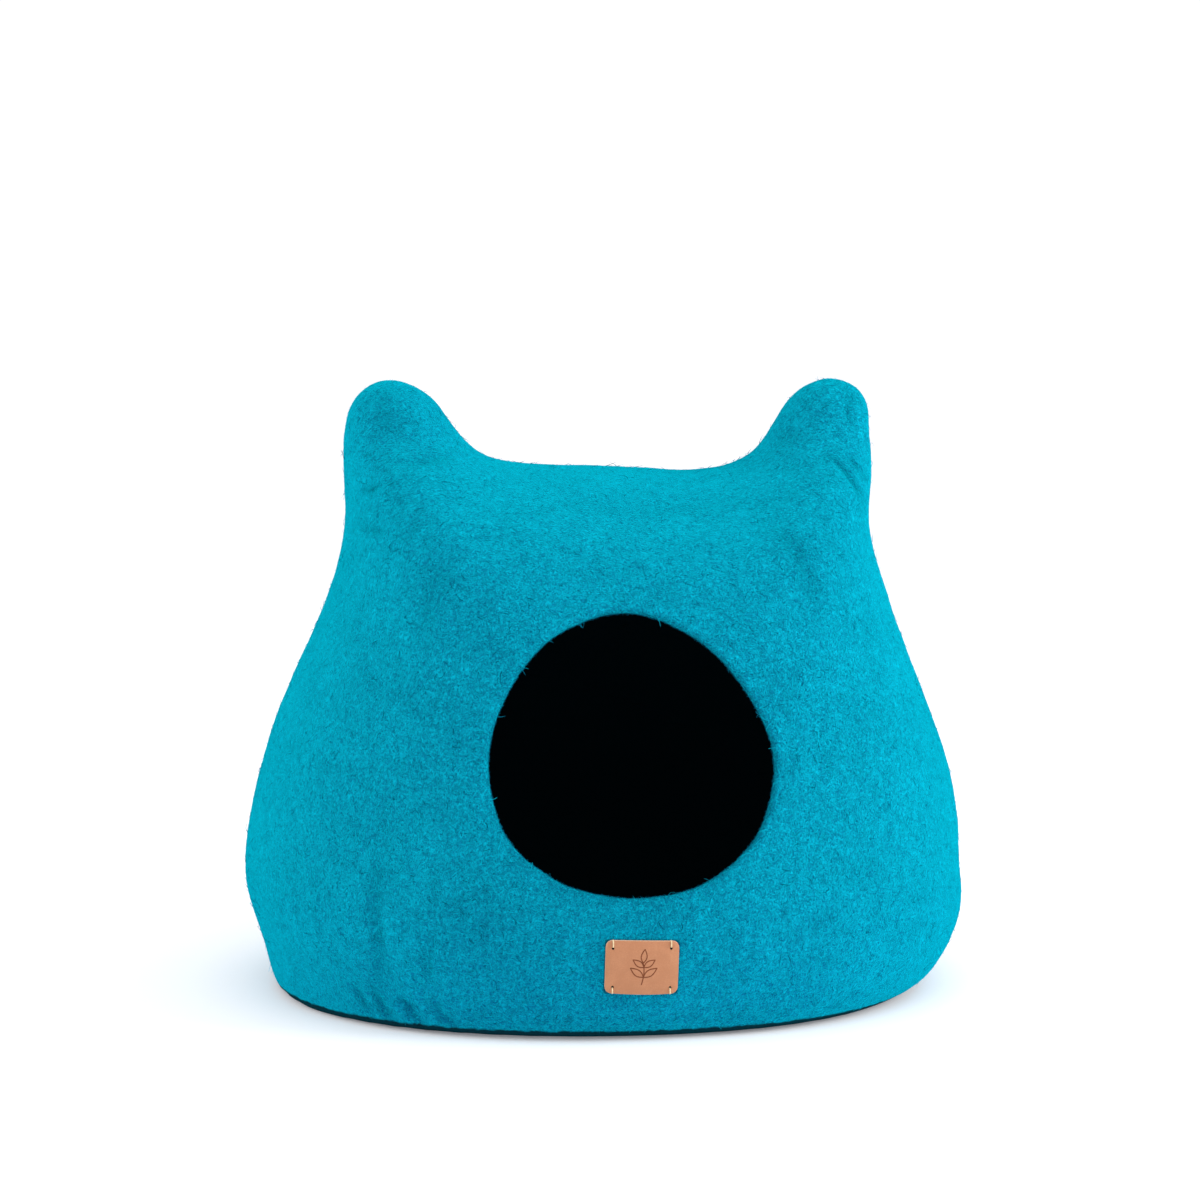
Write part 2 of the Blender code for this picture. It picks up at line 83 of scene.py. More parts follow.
# Creases pressed into the front of the felt, in millimetres: where each one is, how far it
# reaches to either side along and across, which way it runs, and how deep it is (above zero for
# a ridge, below zero for a crease).
Crease = namedtuple("Crease", "name x z length width degrees depth")
CREASES = (
    Crease("right ear root", 163, 355, 21, 2.7, -49, -1.9),
    Crease("right ear root, upper fork", 170, 362, 13, 2.4, -44, -1.3),
    Crease("right ear side", 169, 402, 12, 4.0, 84, -1.1),
    Crease("right ear inner root", 120, 386, 12, 4.0, -38, -0.9),
    Crease("left ear root", -169, 349, 10, 2.6, 22, -2.0),
    Crease("left ear foot", -170, 324, 12, 2.4, 4, -2.1),
    Crease("left ear middle", -153, 400, 14, 5.0, 80, -0.8),
    Crease("left ear inner root", -122, 369, 14, 2.6, 2, -1.1),
    Crease("left flank trough", -166, 72, 44, 4.5, 90, -1.1),
    Crease("left flank ridge", -153, 70, 40, 6.0, 88, 0.9),
    Crease("left foot trough", -134, 48, 19, 4.0, 88, -0.9),
    Crease("first gather", -176, 18, 12, 3.0, -52, -1.5),
    Crease("second gather", -163, 16, 13, 3.0, -50, -1.8),
    Crease("third gather", -145, 15, 13, 3.0, -48, -1.8),
    Crease("fourth gather", -124, 14, 12, 3.2, -46, -1.4),
    Crease("crown band", 20, 338, 90, 5.0, 1, -0.6),
    Crease("right shoulder", 118, 300, 34, 7.0, -66, -0.9),
    Crease("left shoulder", -128, 286, 30, 7.0, 62, -0.8),
)
NARROW_CREASE = 4.5  # millimetres; a crease less wide than this needs a finer mesh


# ---------------------------------------------------------------- settings
def colour_setting(name, description, default):
    return FloatVectorProperty(
        name=name, description=description, default=default, subtype="COLOR", size=3, min=0, max=1
    )


def length_setting(name, description, default, low=0.0):
    return FloatProperty(
        name=name, description=description, default=default, min=low, unit="LENGTH", precision=5
    )


def angle_setting(name, description, degrees):
    return FloatProperty(
        name=name, description=description, default=math.radians(degrees), subtype="ANGLE"
    )


def strength_setting(name, description, default):
    return FloatProperty(name=name, description=description, default=default, min=0)


def count_setting(name, description, default):
    return IntProperty(
        name=name, description=description, default=default, min=0, max=MOST_FIBRES
    )


class FeltSettings(bpy.types.PropertyGroup):
    wool: colour_setting("Wool", "Main colour of the felted wool", (0.002, 0.186, 0.311))
    # Deep wool is also the colour of the painted shade in the creases
    deep_wool_and_crease_shade: colour_setting("Deep wool", "Colour of pits and thin places", (0, 0.068, 0.12))
    bright_wool: colour_setting("Bright wool", "Raised curly fibres", (0.002, 0.44, 0.62))
    # Painted shade: this colour covers the inside of the cave, a strip along the foot and the felt
    # round the patch
    painted_shade: colour_setting("Painted shade", "Dark wool inside", (0.003, 0.016, 0.023))
    lump_size: length_setting("Lump size", "Size of the felt's unevenness", 0.013, 0.004)
    lump_height: length_setting("Lump height", "Height of that unevenness", 0.0004)
    fibre_count: count_setting("Fibres", "Loose fibres of the brightest shade", 24000)
    rim_count: count_setting("Rim fibres", "Short fibres round the cut entry", 14000)
    fibre_length: length_setting("Fibre length", "Length of a loose fibre", 0.0056, 0.001)
    fibre_width: length_setting("Fibre width", "Width of a loose fibre", 0.00046, 0.00005)


class LeatherSettings(bpy.types.PropertyGroup):
    leather: colour_setting("Leather", "Face of the tanned leather", (0.53, 0.236, 0.118))
    cut_edge: colour_setting("Cut edge", "Pale edge of the leather", (0.84, 0.54, 0.37))
    line: colour_setting("Line", "Colour of the engraved lines", (0.15, 0.045, 0.02))
    # Burnt also colours the discs of painted shade behind the holes
    burnt_and_hole_shade: colour_setting("Burnt", "Dark wall of the punched holes", (0.008, 0.004, 0.003))
    line_width: length_setting("Line width", "Width of the engraved lines", 0.0009, 0.0001)
    bevel: length_setting("Bevel", "Rounding of the leather's cut edges", 0.0005)


class ThreadSettings(bpy.types.PropertyGroup):
    thread: colour_setting("Thread", "Colour of the waxed thread", (0.88, 0.70, 0.42))
    ply_radius: length_setting("Ply radius", "Radius of each twisted ply", 0.00029, 0.0001)
    twist: length_setting("Twist", "Length of one full turn of the plies", 0.0021, 0.0005)


class StageSettings(bpy.types.PropertyGroup):
    floor: colour_setting("Floor", "Colour of the plain floor", (0.82, 0.825, 0.84))
    floor_glow: strength_setting("Floor glow", "Its own light, which lifts the shadows", 0.19)
    surroundings: strength_setting("Surroundings", "Light from the white studio", 1.04)
    distance: length_setting("Distance", "Distance of the camera along the floor", 2.4, 0.5)
    height: length_setting("Height", "Height of the camera", 0.514)
    azimuth: angle_setting("Azimuth", "How far round the camera stands", -6)
    pitch: angle_setting("Pitch", "How far down the camera looks", 5.9)


class CaveSettings(bpy.types.PropertyGroup):
    felt: PointerProperty(type=FeltSettings, name="Felt", description="Wool and fibres")
    leather: PointerProperty(type=LeatherSettings, name="Leather", description="Patch")
    thread: PointerProperty(type=ThreadSettings, name="Thread", description="Stitches")
    stage: PointerProperty(type=StageSettings, name="Stage", description="Floor, light, camera")


# ---------------------------------------------------------------- materials
class Reading:
    """A shader socket. Arithmetic on it adds Math nodes."""

    def __init__(self, finish, socket):
        self.finish, self.socket = finish, socket

    def __add__(self, other):
        return self.finish.maths("ADD", self, other)

    def __sub__(self, other):
        return self.finish.maths("SUBTRACT", self, other)

    def __rsub__(self, other):
        return self.finish.maths("SUBTRACT", other, self)

    def __mul__(self, other):
        return self.finish.maths("MULTIPLY", self, other)

    def __abs__(self):
        return self.finish.maths("ABSOLUTE", self)

    def clamped(self):
        return self.finish.maths("MULTIPLY", self, 1, clamp=True)

    def swing(self, amount):
        """How far a noise is from its middle, times an amount."""
        return (self - 0.5) * amount


class Finish:
    """A material under construction."""

    def __init__(self, name, roughness, constants=()):
        self.material = bpy.data.materials.new(name)
        self.material.use_nodes = True
        self.tree = self.material.node_tree
        self.surface = self.tree.nodes["Principled BSDF"]
        for socket, value in {"Roughness": roughness, **dict(constants)}.items():
            self.surface.inputs[socket].default_value = value
        self.place = self.node("ShaderNodeTexCoord").outputs["Object"]

    def node(self, kind, settings=(), inputs=()):
        """Adds a node: its settings first, then the values or links of its sockets."""
        node = self.tree.nodes.new(kind)
        for name, value in dict(settings).items():
            setattr(node, name, value)
        for name, value in dict(inputs).items():
            self.feed(node.inputs[name], value)
        return node

    def feed(self, socket, value):
        value = getattr(value, "socket", value)
        if isinstance(value, bpy.types.NodeSocket):
            self.tree.links.new(value, socket)
        else:
            socket.default_value = value

    def maths(self, operation, *values, clamp=False):
        settings = {"operation": operation, "use_clamp": clamp}
        node = self.node("ShaderNodeMath", settings, enumerate(values))
        return Reading(self, node.outputs[0])

    def noise(self, size, detail=2.0, distortion=0.0, stretch=(1, 1, 1)):
        """Noise with features about size metres across, from 0 to 1."""
        inputs = {0: self.place, 1: [s / size for s in stretch]}
        shrunk = self.node("ShaderNodeVectorMath", {"operation": "MULTIPLY"}, inputs).outputs[0]
        inputs = {"Vector": shrunk, "Scale": 1.0, "Detail": detail, "Distortion": distortion}
        return Reading(self, self.node("ShaderNodeTexNoise", (), inputs).outputs["Fac"])

    def strands(self, size, width, distortion):
        """Thin curly lines where a noise crosses its middle, 1 on the line."""
        off_middle = abs(self.noise(size, detail=1.0, distortion=distortion) - 0.5)
        return (1 - off_middle * (1 / width)).clamped()

    def blend(self, share, first, second, kind="MIX"):
        """A colour between two, or one laid over the other."""
        colour_inputs, colour_output = (6, 7), 2  # the Mix node also has plain number sockets
        inputs = {0: share}
        for socket, colour in zip(colour_inputs, (first, second)):
            inputs[socket] = colour if hasattr(colour, "node") else (*colour, 1)
        settings = {"data_type": "RGBA", "blend_type": kind}
        return self.node("ShaderNodeMix", settings, inputs).outputs[colour_output]

    def axis(self, name):
        """The shaded place along one axis."""
        return Reading(self, self.node("ShaderNodeSeparateXYZ", (), {0: self.place}).outputs[name])

    def attribute(self, name):
        node = self.node("ShaderNodeAttribute", {"attribute_name": name})
        return Reading(self, node.outputs["Fac"])

    def beside_patch(self):
        """1 on the front close to the leather patch, 0 a little way off."""
        patch_fade, front_fade = 800, 1000  # per metre: fades over 1.25 mm and over 1 mm
        middle_x, middle_z = patch_middle()
        across = self.axis("X") - middle_x
        up = self.axis("Z") - middle_z
        lean = math.radians(PATCH_LEAN)
        u = abs(across * math.cos(lean) + up * math.sin(lean)) - PATCH_SIZE[0] / 2
        v = abs(up * math.cos(lean) - across * math.sin(lean)) - PATCH_SIZE[1] / 2
        off = self.maths("MAXIMUM", u, v)
        return (1 - off * patch_fade).clamped() * (self.axis("Y") * -front_fade).clamped()

    def done(self, colour, height=None, relief=0.0, strength=1.0, roughness=None):
        """Feeds the surface and returns the material."""
        self.feed(self.surface.inputs["Base Color"], colour)
        if height:
            inputs = {"Height": height, "Distance": relief, "Strength": strength}
            bump = self.node("ShaderNodeBump", (), inputs)
            self.feed(self.surface.inputs["Normal"], bump.outputs["Normal"])
        if roughness:
            self.feed(self.surface.inputs["Roughness"], roughness)
        return self.material

    def covered(self, share, colour):
        """Lays a matt colour over a share of the surface, sheen included. Returns the material."""
        constants = {"Base Color": (*colour, 1), "Roughness": 0.95, "Specular IOR Level": 0.0}
        matt = self.node("ShaderNodeBsdfPrincipled", (), constants)
        inputs = {0: share, 1: self.surface.outputs[0], 2: matt.outputs[0]}
        mixed = self.node("ShaderNodeMixShader", (), inputs)
        self.feed(self.tree.nodes["Material Output"].inputs["Surface"], mixed.outputs[0])
        return self.material


def scaled(colour, factor):
    """A lighter or darker shade of a colour."""
    return [factor * part for part in colour]


def patch_middle():
    """The middle of the leather patch, across and up."""
    low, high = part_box("leather_patch")
    return (low[0] + high[0]) / 2, (low[2] + high[2]) / 2


def felt_material(felt):
    """Wet-felted wool: cloudy colour, faint streaks, dark pits, a tangle of curly strands, painted
    shade.
    """
    sheen = {"Sheen Weight": 1.0, "Sheen Roughness": 0.4, "Sheen Tint": (0.0, 0.82, 1, 1)}
    finish = Finish("teal_wool_felt_dressed", 0.95, {**sheen, "Specular IOR Level": 0.0})
    clouds = finish.noise(size=0.055, detail=3)
    patches = finish.noise(size=0.008, detail=4, distortion=0.6)
    grain = finish.noise(size=0.0016, detail=3, distortion=0.5)
    streaks = {"size": 0.0055, "detail": 2, "distortion": 0.3}
    upright = finish.noise(**streaks, stretch=(1, 1, 0.1))
    level = finish.noise(**streaks, stretch=(0.1, 0.1, 1))

    # The tangle lies over the pits, and a slow change of shade over both.
    long_strands = finish.strands(size=0.0046, width=0.08, distortion=2.0)
    short_strands = finish.strands(size=0.003, width=0.11, distortion=1.5)
    tangle = (long_strands * 0.6 + short_strands * 0.6).clamped()
    pits = ((0.51 - grain) * 6 + patches.swing(-0.6)).clamped()
    pit_share, tangle_share = 0.68, 0.88
    colour = finish.blend((pits * pit_share).clamped(), felt.wool, felt.deep_wool_and_crease_shade)
    colour = finish.blend((tangle * tangle_share).clamped(), colour, felt.bright_wool)
    slow = clouds.swing(0.8) + patches.swing(0.4) + upright.swing(0.5) + level.swing(0.4)
    dim, lit = (0.70, 0.72, 0.74), (1.24, 1.22, 1.20)
    shade = finish.blend((slow + 0.5).clamped(), dim, lit)
    colour = finish.blend(1.0, colour, shade, "MULTIPLY")
    # Painted shade: the creases are darkened towards the deep wool
    crease_shade = finish.attribute("crease_shade") * (patches * 0.8 + 0.35)
    colour = finish.blend(crease_shade.clamped(), colour, felt.deep_wool_and_crease_shade)

    # Painted shadow darkens a strip along the foot and the felt beside the patch, and the belly
    # turns bluer downwards.
    foot_height, foot_wave, foot_fade, foot_share = 0.0066, 0.004, 700, 0.95
    foot = (foot_height - finish.axis("Z") + patches.swing(foot_wave)) * foot_fade
    beside_share = 0.7
    shadow = (foot.clamped() * foot_share + finish.beside_patch() * beside_share).clamped()
    # Painted shade: the lower belly turns darker and bluer towards the floor
    blue_height, blue_fade, blue_share, blue = 0.10, 10, 0.16, (0.0, 0.0, 0.3)
    low = ((blue_height - finish.axis("Z")) * blue_fade).clamped()
    colour = finish.blend(low * blue_share, colour, blue)

    height = tangle * 0.6 + grain * 0.8 + patches * 0.5
    finish.done(colour, height, relief=0.0011, strength=0.9)
    # Painted shade: matt dark wool over the enclosed inside, the foot strip and the felt beside
    # the patch
    dark = finish.maths("MAXIMUM", shadow, finish.attribute("inside"))
    return finish.covered(dark, felt.painted_shade)


def fibre_material(name, colour):
    constants = {"Specular IOR Level": 0.0, "Sheen Weight": 0.4, "Sheen Tint": (0.0, 0.75, 1, 1)}
    finish = Finish(name, 0.9, constants)
    tint = finish.noise(size=0.004, detail=1)
    return finish.done(finish.blend(tint, scaled(colour, 0.72), colour))


def leather_material(leather):
    """Vegetable-tanned leather: fine grain, faint blotches, paler bevelled edges."""
    finish = Finish("tan_leather_dressed", 0.5, {"Specular IOR Level": 0.35})
    grain = finish.noise(size=0.0007, detail=3, distortion=0.3)
    blotches = finish.noise(size=0.009, detail=3, distortion=0.5)
    pores = finish.strands(size=0.0011, width=0.09, distortion=0.4)
    darkening = (0.83, 0.78, 0.74)
    darker = [part * factor for part, factor in zip(leather.leather, darkening)]
    shade = ((blotches - 0.38) * 1.5 + grain.swing(1.6)).clamped()
    colour = finish.blend(shade, darker, leather.leather)
    colour = finish.blend(finish.attribute("edge"), colour, leather.cut_edge)
    colour = finish.blend(finish.attribute("burnt_and_hole_shade"), colour, leather.burnt_and_hole_shade)
    roughness = (grain * 0.25 + 0.42).clamped()
    height = grain * 0.6 - pores * 0.4
    return finish.done(colour, height, relief=0.00012, strength=0.8, roughness=roughness)


def line_material(leather):
    finish = Finish("engraved_line", 0.8, {"Specular IOR Level": 0.1})
    burn = finish.noise(size=0.0012, detail=2)
    share = ((burn - 0.45) * 2).clamped()
    return finish.done(finish.blend(share, leather.line, scaled(leather.line, 1.9)))


# Painted shade: stands for the felt in shade behind the punched holes, mottled a little
def hole_shade_material(leather):
    finish = Finish("painted_hole_shade", 0.9, {"Specular IOR Level": 0.1})
    shade_mottle = finish.noise(size=0.0006)
    return finish.done(finish.blend(shade_mottle, leather.burnt_and_hole_shade, scaled(leather.burnt_and_hole_shade, 0.6)))


def thread_material(thread):
    finish = Finish("cream_thread_dressed", 0.55, {"Sheen Weight": 0.1})
    strands = finish.noise(size=0.0003, detail=2, distortion=0.5, stretch=(1, 1, 0.25))
    colour = finish.blend(strands, scaled(thread.thread, 0.7), thread.thread)
    return finish.done(colour, strands, relief=0.00005, strength=0.6)


def floor_material(stage):
    finish = Finish("floor_paper", 0.9)
    glow_tint = (0.93, 0.94, 1, 1)
    finish.surface.inputs["Emission Color"].default_value = glow_tint
    finish.surface.inputs["Emission Strength"].default_value = stage.floor_glow
    clouds = finish.noise(size=0.4)
    return finish.done(finish.blend(clouds, scaled(stage.floor, 0.985), stage.floor))


# ---------------------------------------------------------------- pieces
def new_piece(name, mesh, material):
    """A piece of the mesh, with its material, riding on the model."""
    piece = bpy.data.objects.new(name, mesh)
    bpy.context.scene.collection.objects.link(piece)
    mesh.materials.clear()
    mesh.materials.append(material)
    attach(piece, BODY)
    return piece


def bmesh_of(node):
    """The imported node's shape, with its corners joined."""
    bm = bmesh.new()
    bm.from_mesh(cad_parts[node].data)
    bmesh.ops.remove_doubles(bm, verts=bm.verts, dist=1e-6)
    return bm


def mesh_from(bm, name):
    mesh = bpy.data.meshes.new(name)
    bm.to_mesh(mesh)
    bm.free()
    mesh.shade_smooth()
    return mesh


def with_modifiers(mesh, *modifiers):
    """The mesh after modifiers, each given as its type and settings."""
    carrier = bpy.data.objects.new("carrier", mesh)
    bpy.context.scene.collection.objects.link(carrier)
    for kind, settings in modifiers:
        modifier = carrier.modifiers.new(kind.title(), kind)
        for name, value in settings.items():
            setattr(modifier, name, value)
    graph = bpy.context.evaluated_depsgraph_get()
    result = bpy.data.meshes.new_from_object(
        carrier.evaluated_get(graph), preserve_all_data_layers=True, depsgraph=graph
    )
    bpy.data.objects.remove(carrier)
    return result


def array_of(items, attribute, width=3):
    values = np.empty(len(items) * width)
    items.foreach_get(attribute, values)
    return values.reshape(-1, width) if width > 1 else values


def set_attribute(mesh, name, values):
    mesh.attributes.new(name, "FLOAT", "POINT").data.foreach_set("value", values)


def unit(vectors):
    return vectors / np.maximum(np.linalg.norm(vectors, axis=-1, keepdims=True), 1e-12)


def enclosed_share(tree, point, directions):
    """The share of directions in which the felt is met from a point."""
    return sum(tree.ray_cast(point, way)[0] is not None for way in directions) / len(directions)


def mark_inside(bm):
    """Marks each corner of the shell by how enclosed it is: 0 outside, 1 inside the cave."""
    stand_off, open_share, band = 0.002, 0.78, 0.1
    tree = BVHTree.FromBMesh(bm)
    bm.normal_update()
    layer = bm.verts.layers.float.new("inside")
    steps = itertools.product((-1, 0, 1), repeat=3)
    ways = [Vector(step).normalized() for step in steps if any(step)]
    for vert in bm.verts:
        share = enclosed_share(tree, vert.co + vert.normal * stand_off, ways)
        vert[layer] = min(max((share - open_share) / band, 0), 1)


def eased(t):
    """0 to 1 with a level start and end."""
    t = np.clip(t, 0, 1)
    return t * t * (3 - 2 * t)


def along_and_across(crease, x, z):
    """A place's distances along and across a crease, in millimetres."""
    turn = math.radians(crease.degrees)
    along = (x - crease.x) * math.cos(turn) + (z - crease.z) * math.sin(turn)
    across = (z - crease.z) * math.cos(turn) - (x - crease.x) * math.sin(turn)
    return along, across


def crease_lift(points, normals):
    """How far the creases press the front of the felt in, or raise it, at each point."""
    wander_share, wander_rate = 0.35, 3.1
    x, y, z = points.T / MM
    lift = np.zeros(len(points))
    for crease in CREASES:
        along, across = along_and_across(crease, x, z)
        bend = np.sin(wander_rate * along / crease.length + crease.x)
        across = across + wander_share * crease.width * bend
        falling_off = (along / crease.length) ** 4 + (across / crease.width) ** 2
        lift += crease.depth * np.exp(-falling_off)
    in_front = eased(-y / 10 - 0.5)  # from 5 to 15 mm in front of the middle
    facing = eased((-normals[:, 1] - 0.2) / 0.3)  # none on the sides, whole on the face
    return lift * in_front * facing * MM


def refine_creases(mesh):
    """Splits the faces round the narrow creases once more, so that there are points to bend at."""
    bm = bmesh.new()
    bm.from_mesh(mesh)
    near = set()
    narrow = [crease for crease in CREASES if crease.width < NARROW_CREASE]
    for face in bm.faces:
        x, y, z = face.calc_center_median() / MM
        for crease in narrow if y < 0 and face.normal.y < -0.2 else ():
            along, across = along_and_across(crease, x, z)
            if abs(along) < crease.length + 1 and abs(across) < 1.5 * crease.width + 1:
                near.update(face.edges)
    bmesh.ops.subdivide_edges(bm, edges=list(near), cuts=1, use_grid_fill=True)
    bm.to_mesh(mesh)
    bm.free()
    mesh.shade_smooth()


def lump(place):
    """The height of the felt's unevenness at a place, about -1 to 1."""
    slow_share, slow_scale = 0.5, 0.45
    return noise.noise(place) + slow_share * noise.noise(place * slow_scale)


def lumpy(mesh, size, height):
    """Presses the creases in, and raises and lowers the surface a little, as hand felting leaves
    it, but not the foot."""
    foot_height, deepest_shade = 0.01, 0.002
    points = array_of(mesh.vertices, "co")
    normals = array_of(mesh.vertices, "normal")
    inside = array_of(mesh.attributes["inside"].data, "value", 1)
    creases = crease_lift(points, normals) * (1 - inside)
    lift = np.array([lump(Vector(point) / size) for point in points]) * height + creases
    lift *= np.clip(points[:, 2] / foot_height, 0, 1)
    # Painted shade: how deep each crease is, full at 2 mm, darkens it in the felt's colour
    set_attribute(mesh, "crease_shade", np.clip(-creases / deepest_shade, 0, 1))
    points += normals * lift[:, None]
    points[:, 2] = np.maximum(points[:, 2], 0)
    mesh.vertices.foreach_set("co", points.ravel())
    mesh.update()


def cut_rim(places, normals):
    """1 on the rounded lip of the entry, 0 elsewhere."""
    towards = ENTRY_MIDDLE - places
    towards[:, 1] = 0
    near = (np.linalg.norm(towards, axis=1) < RIM_REACH) & (places[:, 1] < RIM_BACK)
    return near * np.clip((unit(towards) * normals).sum(1), 0, 1)


def fibre_roots(shell, count, rng, on_rim):
    """Places and normals spread over the felt, clear of floor and patch: over the lip of the
    entry, or over the outside without that lip."""
    most_inside, most_rim = 0.3, 0.25
    mesh = shell.data
    mesh.calc_loop_triangles()
    corners = np.empty(len(mesh.loop_triangles) * 3, int)
    mesh.loop_triangles.foreach_get("vertices", corners)
    corners = corners.reshape(-1, 3)
    points, normals = array_of(mesh.vertices, "co"), array_of(mesh.vertices, "normal")
    inside = array_of(mesh.attributes["inside"].data, "value", 1)
    a, b, c = (points[corners[:, k]] for k in range(3))
    share = np.linalg.norm(np.cross(b - a, c - a), axis=1)
    rim = cut_rim((a + b + c) / 3, unit(normals[corners].sum(1)))
    share *= rim if on_rim else (inside[corners].max(1) < most_inside) & (rim < most_rim)
    share[points[corners, 2].max(1) < FIBRE_FOOT] = 0
    chosen = rng.choice(len(corners), count, p=share / share.sum())
    weights = rng.dirichlet((1, 1, 1), count)[..., None]
    places = (points[corners[chosen]] * weights).sum(1)
    facing = unit((normals[corners[chosen]] * weights).sum(1))
    low, high = (np.array(corner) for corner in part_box("leather_patch"))
    near_patch = (places > low - PATCH_MARGIN) & (places < high + PATCH_MARGIN)
    on_patch = near_patch[:, [0, 2]].all(1) & (places[:, 1] < 0)
    return places[~on_patch], facing[~on_patch]


def fibre_mesh(name, places, normals, length, width, stray_share, rng):
    """Curly ribbons that lie on the felt, a share of them lifting off it."""
    count, stations = len(places), 5
    sunk, lowest, narrowing = 0.00005, 0.0002, 0.65
    first = unit(np.cross(normals, rng.normal(size=(count, 3))))
    second = np.cross(normals, first)
    length = length * rng.uniform(0.45, 1.5, count)
    bearing = rng.uniform(0, 2 * math.pi, count)
    curl = rng.normal(0, 2.2, count)
    stray = rng.random(count) < stray_share
    lift = np.where(stray, rng.uniform(0.15, 0.45, count), 0.0) * length
    arch = rng.uniform(0.00005, 0.0004, count)
    middle, left, right = places - normals * sunk, [], []
    width = width * rng.uniform(0.6, 1.2, count)
    for station in range(stations):
        share = station / (stations - 1)
        turn = bearing + curl * share
        heading = first * np.cos(turn)[:, None] + second * np.sin(turn)[:, None]
        if station:
            middle = middle + heading * (length / (stations - 1))[:, None]
        height = lift * share**1.5 + arch * math.sin(math.pi * share)
        here = middle + normals * height[:, None]
        side = np.cross(heading, normals)
        side = unit(side + normals * (stray * rng.uniform(0.5, 2.0, count))[:, None])
        half = side * (width * (1 - narrowing * share) / 2)[:, None]
        left.append(here - half)
        right.append(here + half)
    points = np.stack([np.stack(left, 1), np.stack(right, 1)], axis=2).reshape(-1, 3)
    points[:, 2] = np.maximum(points[:, 2], lowest)
    start = (np.arange(count) * stations * 2)[:, None] + 2 * np.arange(stations - 1)
    faces = np.stack([start, start + 1, start + 3, start + 2], axis=-1).reshape(-1, 4)
    mesh = bpy.data.meshes.new(name)
    mesh.from_pydata(points.tolist(), [], faces.tolist())
    mesh.shade_smooth()
    return mesh


class LeatherFace:
    """Finds places on the front of the leather and of the felt behind it."""

    def __init__(self):
        self.leather = BVHTree.FromBMesh(bmesh_of("leather_patch"))
        self.felt = BVHTree.FromBMesh(bmesh_of("felt_shell"))
        self.middle = Vector(patch_middle())
        self.lean = math.radians(PATCH_LEAN)

    def front(self, x, z, tree):
        """The first place met from the front at (x, z), and the way it faces."""
        place, normal, _, _ = tree.ray_cast(Vector((x, -1, z)), Vector((0, 1, 0)))
        if place is None:
            raise RuntimeError(f"nothing in front at {x:.4f}, {z:.4f}")
        return place, normal if normal.y < 0 else -normal

    def at(self, u, v, stand_off):
        """The place (u, v) millimetres from the patch's middle, stand_off above the leather."""
        x = self.middle.x + (u * math.cos(self.lean) - v * math.sin(self.lean)) * MM
        z = self.middle.y + (u * math.sin(self.lean) + v * math.cos(self.lean)) * MM
        place, normal = self.front(x, z, self.leather)
        return place + normal * stand_off


def stitch_ends(node):
    """Where a stitch is across, the heights of its hole and of its other end, and its radius."""
    low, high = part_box(node)
    radius = (high[0] - low[0]) / 2
    ends = (low[2] + radius, high[2] - radius)
    hole_z, edge_z = ends[::-1] if "bottom" in node else ends
    return (low[0] + high[0]) / 2, hole_z, edge_z, radius


def hole_places():
    """The middle of each punched hole, seen from the front: where its stitch goes in."""
    return [stitch_ends(node)[:2] for node in STITCH_NODES]


def heading_at(line, index):
    """Which way a line of points runs at one of them."""
    return (line[min(index + 1, len(line) - 1)] - line[max(index - 1, 0)]).normalized()


def tube(bm, line, radius, sides):
    """Adds a closed tube along a line of points."""
    least_across = 0.2  # below this the line runs too nearly along up to turn from it
    rings, up = [], Vector((0, -1, 0.2)).normalized()
    for index, point in enumerate(line):
        ahead = heading_at(line, index)
        across = ahead.cross(up)
        if across.length < least_across:
            across = ahead.cross(Vector((1, 0, 0)))
        across.normalize()
        up = across.cross(ahead).normalized()
        ring = []
        for side in range(sides):
            turn = 2 * math.pi * side / sides
            offset = (across * math.cos(turn) + up * math.sin(turn)) * radius
            ring.append(bm.verts.new(point + offset))
        rings.append(ring)
    for here, there in zip(rings, rings[1:]):
        for side in range(sides):
            after = (side + 1) % sides
            bm.faces.new((here[side], here[after], there[after], there[side]))
    bm.faces.new(rings[0][::-1])
    bm.faces.new(rings[-1])


def leaf_line(root, heading, length, breadth):
    """The outline of one leaf that grows from root along heading, in degrees."""
    steps, taper = 24, 0.35
    turn, line = math.radians(heading), []
    for step in range(steps + 1):
        share = step / steps
        along = length * (1 - abs(2 * share - 1))
        bulge = math.sin(math.pi * min(along / length, 1)) * (1 - taper * along / length)
        across = breadth * bulge * (1 if share < 0.5 else -1)
        u = root[0] + along * math.cos(turn) - across * math.sin(turn)
        v = root[1] + along * math.sin(turn) + across * math.cos(turn)
        line.append((u, v))
    return line


def sprig_lines():
    """A plain sprig of paired leaves, as lines in millimetres on the patch."""
    steps, foot, height, sway, sway_turn = 20, -11.5, 14.5, 1.4, 2.6
    shares = np.linspace(0, 1, steps + 1)
    stem = [(sway * math.sin(sway_turn * share), foot + height * share) for share in shares]
    lines = [stem]
    # Each pair of leaves: how far up the stem it grows, and a leaf's length and breadth.
    for share, length, breadth in ((0.34, 10.6, 2.5), (0.80, 8.8, 2.2)):
        root = stem[round(share * steps)]
        for heading in (35, 145):
            lines.append(leaf_line(root, heading, length, breadth))
    lines.append(leaf_line(stem[-1], heading=84, length=9.2, breadth=2.3))
    return lines


def spaced(line, step):
    """The same line as points at most step apart."""
    result = [line[0]]
    for a, b in zip(line, line[1:]):
        count = max(1, math.ceil(math.dist(a, b) / step))
        for k in range(1, count + 1):
            result.append(tuple(p + (q - p) * k / count for p, q in zip(a, b)))
    return result


